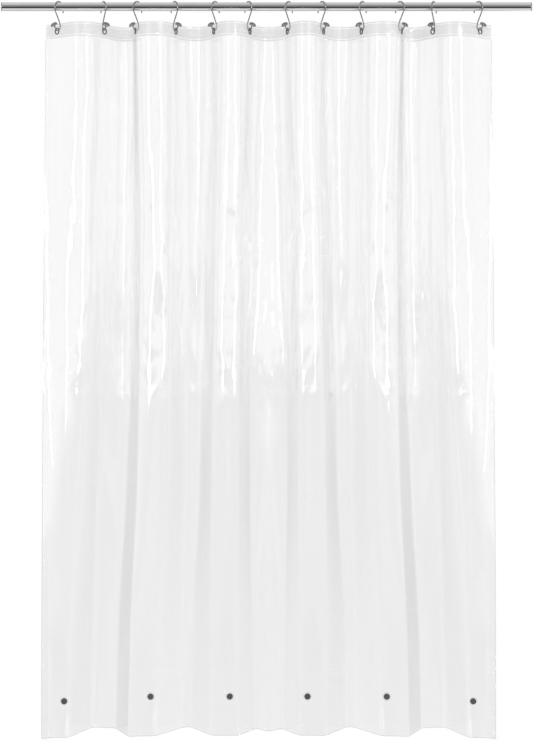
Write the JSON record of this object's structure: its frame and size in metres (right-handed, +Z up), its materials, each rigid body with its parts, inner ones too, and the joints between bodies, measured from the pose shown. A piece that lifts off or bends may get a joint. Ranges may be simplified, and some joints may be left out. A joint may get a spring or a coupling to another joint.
{
  "type": "shower curtain",
  "caption": "Clear vinyl shower curtain with a reinforced header, metal eyelets and weighted hem, hung in folds from a straight chrome rod by capped wire hooks.",
  "frame": {"origin": "centre of the rod's left end face, as seen from the room", "axes": "+X along the rod to the viewer's right, -Y towards the room, +Z up"},
  "size_m": [1.37, 0.1386, 1.8894],
  "materials": {
    "rod_chrome": "polished chrome plate over steel tube",
    "end_cap": "moulded dark grey plastic",
    "hook_wire": "chrome-plated steel wire",
    "hook_cap": "chrome-plated dome",
    "eyelet_metal": "rust-resistant nickel-plated eyelet",
    "clear_vinyl": "frosty clear film, crinkled and glossy",
    "header_vinyl": "doubled translucent film with welded edges",
    "hem_vinyl": "doubled translucent film",
    "pocket_vinyl": "clear film welded round its rim",
    "magnet_ferrite": "matt dark ferrite disc"
  },
  "bodies": {
    "rod": {"rod_tube": "rod_chrome", "rod_end_cap_left": "end_cap", "rod_end_cap_right": "end_cap"},
    "curtain": {"curtain_sheet": "clear_vinyl", "header_band": "header_vinyl", "side_hem_left": "hem_vinyl", "side_hem_right": "hem_vinyl"},
    "hook_01": {"hook_wire_01": "hook_wire", "hook_cap_01": "hook_cap"},
    "hook_02": {"hook_wire_02": "hook_wire", "hook_cap_02": "hook_cap"},
    "hook_03": {"hook_wire_03": "hook_wire", "hook_cap_03": "hook_cap"},
    "hook_04": {"hook_wire_04": "hook_wire", "hook_cap_04": "hook_cap"},
    "hook_05": {"hook_wire_05": "hook_wire", "hook_cap_05": "hook_cap"},
    "hook_06": {"hook_wire_06": "hook_wire", "hook_cap_06": "hook_cap"},
    "hook_07": {"hook_wire_07": "hook_wire", "hook_cap_07": "hook_cap"},
    "hook_08": {"hook_wire_08": "hook_wire", "hook_cap_08": "hook_cap"},
    "hook_09": {"hook_wire_09": "hook_wire", "hook_cap_09": "hook_cap"},
    "hook_10": {"hook_wire_10": "hook_wire", "hook_cap_10": "hook_cap"},
    "hook_11": {"hook_wire_11": "hook_wire", "hook_cap_11": "hook_cap"},
    "hook_12": {"hook_wire_12": "hook_wire", "hook_cap_12": "hook_cap"},
    "eyelet_01": {"eyelet_01": "eyelet_metal"},
    "eyelet_02": {"eyelet_02": "eyelet_metal"},
    "eyelet_03": {"eyelet_03": "eyelet_metal"},
    "eyelet_04": {"eyelet_04": "eyelet_metal"},
    "eyelet_05": {"eyelet_05": "eyelet_metal"},
    "eyelet_06": {"eyelet_06": "eyelet_metal"},
    "eyelet_07": {"eyelet_07": "eyelet_metal"},
    "eyelet_08": {"eyelet_08": "eyelet_metal"},
    "eyelet_09": {"eyelet_09": "eyelet_metal"},
    "eyelet_10": {"eyelet_10": "eyelet_metal"},
    "eyelet_11": {"eyelet_11": "eyelet_metal"},
    "eyelet_12": {"eyelet_12": "eyelet_metal"},
    "magnet_01": {"magnet_01": "magnet_ferrite", "magnet_pocket_01": "pocket_vinyl"},
    "magnet_02": {"magnet_02": "magnet_ferrite", "magnet_pocket_02": "pocket_vinyl"},
    "magnet_03": {"magnet_03": "magnet_ferrite", "magnet_pocket_03": "pocket_vinyl"},
    "magnet_04": {"magnet_04": "magnet_ferrite", "magnet_pocket_04": "pocket_vinyl"},
    "magnet_05": {"magnet_05": "magnet_ferrite", "magnet_pocket_05": "pocket_vinyl"},
    "magnet_06": {"magnet_06": "magnet_ferrite", "magnet_pocket_06": "pocket_vinyl"}
  },
  "joints": [
    {"name": "curtain_swing", "type": "hinge", "parent": "rod", "child": "curtain", "pos_m": [0.685, 0, 0], "axis": [1, 0, 0], "range_deg": [-15, 15]},
    {"name": "curtain_draw", "type": "slide", "parent": "curtain", "child": "hook_12", "axis": [-1, 0, 0], "range_m": [0, 0.62201], "deforming": ["curtain_sheet", "header_band", "side_hem_left", "side_hem_right"]},
    {"name": "hook_slide_01", "type": "slide", "parent": "curtain", "child": "hook_01", "axis": [-1, 0, 0], "range_m": [0, 0.05451]},
    {"name": "hook_slide_02", "type": "slide", "parent": "curtain", "child": "hook_02", "axis": [-1, 0, 0], "range_m": [0, 0.11783]},
    {"name": "hook_slide_03", "type": "slide", "parent": "curtain", "child": "hook_03", "axis": [-1, 0, 0], "range_m": [0, 0.15975]},
    {"name": "hook_slide_04", "type": "slide", "parent": "curtain", "child": "hook_04", "axis": [-1, 0, 0], "range_m": [0, 0.21371]},
    {"name": "hook_slide_05", "type": "slide", "parent": "curtain", "child": "hook_05", "axis": [-1, 0, 0], "range_m": [0, 0.26477]},
    {"name": "hook_slide_06", "type": "slide", "parent": "curtain", "child": "hook_06", "axis": [-1, 0, 0], "range_m": [0, 0.313]},
    {"name": "hook_slide_07", "type": "slide", "parent": "curtain", "child": "hook_07", "axis": [-1, 0, 0], "range_m": [0, 0.36353]},
    {"name": "hook_slide_08", "type": "slide", "parent": "curtain", "child": "hook_08", "axis": [-1, 0, 0], "range_m": [0, 0.41176]},
    {"name": "hook_slide_09", "type": "slide", "parent": "curtain", "child": "hook_09", "axis": [-1, 0, 0], "range_m": [0, 0.46283]},
    {"name": "hook_slide_10", "type": "slide", "parent": "curtain", "child": "hook_10", "axis": [-1, 0, 0], "range_m": [0, 0.51679]},
    {"name": "hook_slide_11", "type": "slide", "parent": "curtain", "child": "hook_11", "axis": [-1, 0, 0], "range_m": [0, 0.5587]},
    {"name": "magnet_slide_01", "type": "slide", "parent": "curtain", "child": "magnet_01", "axis": [-1, 0, 0], "range_m": [0, 0.06734]},
    {"name": "magnet_slide_02", "type": "slide", "parent": "curtain", "child": "magnet_02", "axis": [-1, 0, 0], "range_m": [0, 0.18138]},
    {"name": "magnet_slide_03", "type": "slide", "parent": "curtain", "child": "magnet_03", "axis": [-1, 0, 0], "range_m": [0, 0.28658]},
    {"name": "magnet_slide_04", "type": "slide", "parent": "curtain", "child": "magnet_04", "axis": [-1, 0, 0], "range_m": [0, 0.38994]},
    {"name": "magnet_slide_05", "type": "slide", "parent": "curtain", "child": "magnet_05", "axis": [-1, 0, 0], "range_m": [0, 0.49515]},
    {"name": "magnet_slide_06", "type": "slide", "parent": "curtain", "child": "magnet_06", "axis": [-1, 0, 0], "range_m": [0, 0.60919]},
    {"name": "eyelet_turn_01", "type": "hinge", "parent": "hook_01", "child": "eyelet_01", "pos_m": [0.14483, -0.00584, -0.0641], "axis": [0, 0, 1], "range_deg": [-18.4, 0]},
    {"name": "eyelet_turn_02", "type": "hinge", "parent": "hook_02", "child": "eyelet_02", "pos_m": [0.2666, -0.00565, -0.0641], "axis": [0, 0, 1], "range_deg": [0, 15.6]},
    {"name": "eyelet_turn_03", "type": "hinge", "parent": "hook_03", "child": "eyelet_03", "pos_m": [0.34719, -0.00568, -0.0641], "axis": [0, 0, 1], "range_deg": [-5.9, 0]},
    {"name": "eyelet_turn_04", "type": "hinge", "parent": "hook_04", "child": "eyelet_04", "pos_m": [0.45095, -0.00569, -0.0641], "axis": [0, 0, 1], "range_deg": [0, 10.3]},
    {"name": "eyelet_turn_05", "type": "hinge", "parent": "hook_05", "child": "eyelet_05", "pos_m": [0.54918, -0.00571, -0.0641], "axis": [0, 0, 1], "range_deg": [-10.6, 0]},
    {"name": "eyelet_turn_06", "type": "hinge", "parent": "hook_06", "child": "eyelet_06", "pos_m": [0.64191, -0.00571, -0.0641], "axis": [0, 0, 1], "range_deg": [0, 10.2]},
    {"name": "eyelet_turn_07", "type": "hinge", "parent": "hook_07", "child": "eyelet_07", "pos_m": [0.73909, -0.00571, -0.0641], "axis": [0, 0, 1], "range_deg": [-10.2, 0]},
    {"name": "eyelet_turn_08", "type": "hinge", "parent": "hook_08", "child": "eyelet_08", "pos_m": [0.83182, -0.00571, -0.0641], "axis": [0, 0, 1], "range_deg": [0, 10.6]},
    {"name": "eyelet_turn_09", "type": "hinge", "parent": "hook_09", "child": "eyelet_09", "pos_m": [0.93005, -0.00569, -0.0641], "axis": [0, 0, 1], "range_deg": [-10.3, 0]},
    {"name": "eyelet_turn_10", "type": "hinge", "parent": "hook_10", "child": "eyelet_10", "pos_m": [1.03381, -0.00568, -0.0641], "axis": [0, 0, 1], "range_deg": [0, 5.9]},
    {"name": "eyelet_turn_11", "type": "hinge", "parent": "hook_11", "child": "eyelet_11", "pos_m": [1.1144, -0.00565, -0.0641], "axis": [0, 0, 1], "range_deg": [-15.6, 0]},
    {"name": "eyelet_turn_12", "type": "hinge", "parent": "hook_12", "child": "eyelet_12", "pos_m": [1.23617, -0.00584, -0.0641], "axis": [0, 0, 1], "range_deg": [0, 18.4]}
  ],
  "couplings": [
    {"joint": "hook_slide_01", "follows": "curtain_draw", "ratio": 0.087635},
    {"joint": "hook_slide_02", "follows": "curtain_draw", "ratio": 0.18943},
    {"joint": "hook_slide_03", "follows": "curtain_draw", "ratio": 0.25681},
    {"joint": "hook_slide_04", "follows": "curtain_draw", "ratio": 0.34356},
    {"joint": "hook_slide_05", "follows": "curtain_draw", "ratio": 0.42567},
    {"joint": "hook_slide_06", "follows": "curtain_draw", "ratio": 0.50321},
    {"joint": "hook_slide_07", "follows": "curtain_draw", "ratio": 0.58443},
    {"joint": "hook_slide_08", "follows": "curtain_draw", "ratio": 0.66197},
    {"joint": "hook_slide_09", "follows": "curtain_draw", "ratio": 0.74407},
    {"joint": "hook_slide_10", "follows": "curtain_draw", "ratio": 0.83082},
    {"joint": "hook_slide_11", "follows": "curtain_draw", "ratio": 0.8982},
    {"joint": "magnet_slide_01", "follows": "curtain_draw", "ratio": 0.10825},
    {"joint": "magnet_slide_02", "follows": "curtain_draw", "ratio": 0.29159},
    {"joint": "magnet_slide_03", "follows": "curtain_draw", "ratio": 0.46073},
    {"joint": "magnet_slide_04", "follows": "curtain_draw", "ratio": 0.6269},
    {"joint": "magnet_slide_05", "follows": "curtain_draw", "ratio": 0.79605},
    {"joint": "magnet_slide_06", "follows": "curtain_draw", "ratio": 0.97939},
    {"joint": "eyelet_turn_01", "follows": "curtain_draw", "rad_per_m": -0.51629},
    {"joint": "eyelet_turn_02", "follows": "curtain_draw", "rad_per_m": 0.43772},
    {"joint": "eyelet_turn_03", "follows": "curtain_draw", "rad_per_m": -0.16555},
    {"joint": "eyelet_turn_04", "follows": "curtain_draw", "rad_per_m": 0.28901},
    {"joint": "eyelet_turn_05", "follows": "curtain_draw", "rad_per_m": -0.29743},
    {"joint": "eyelet_turn_06", "follows": "curtain_draw", "rad_per_m": 0.2862},
    {"joint": "eyelet_turn_07", "follows": "curtain_draw", "rad_per_m": -0.2862},
    {"joint": "eyelet_turn_08", "follows": "curtain_draw", "rad_per_m": 0.29743},
    {"joint": "eyelet_turn_09", "follows": "curtain_draw", "rad_per_m": -0.28901},
    {"joint": "eyelet_turn_10", "follows": "curtain_draw", "rad_per_m": 0.16555},
    {"joint": "eyelet_turn_11", "follows": "curtain_draw", "rad_per_m": -0.43772},
    {"joint": "eyelet_turn_12", "follows": "curtain_draw", "rad_per_m": 0.51629}
  ]
}
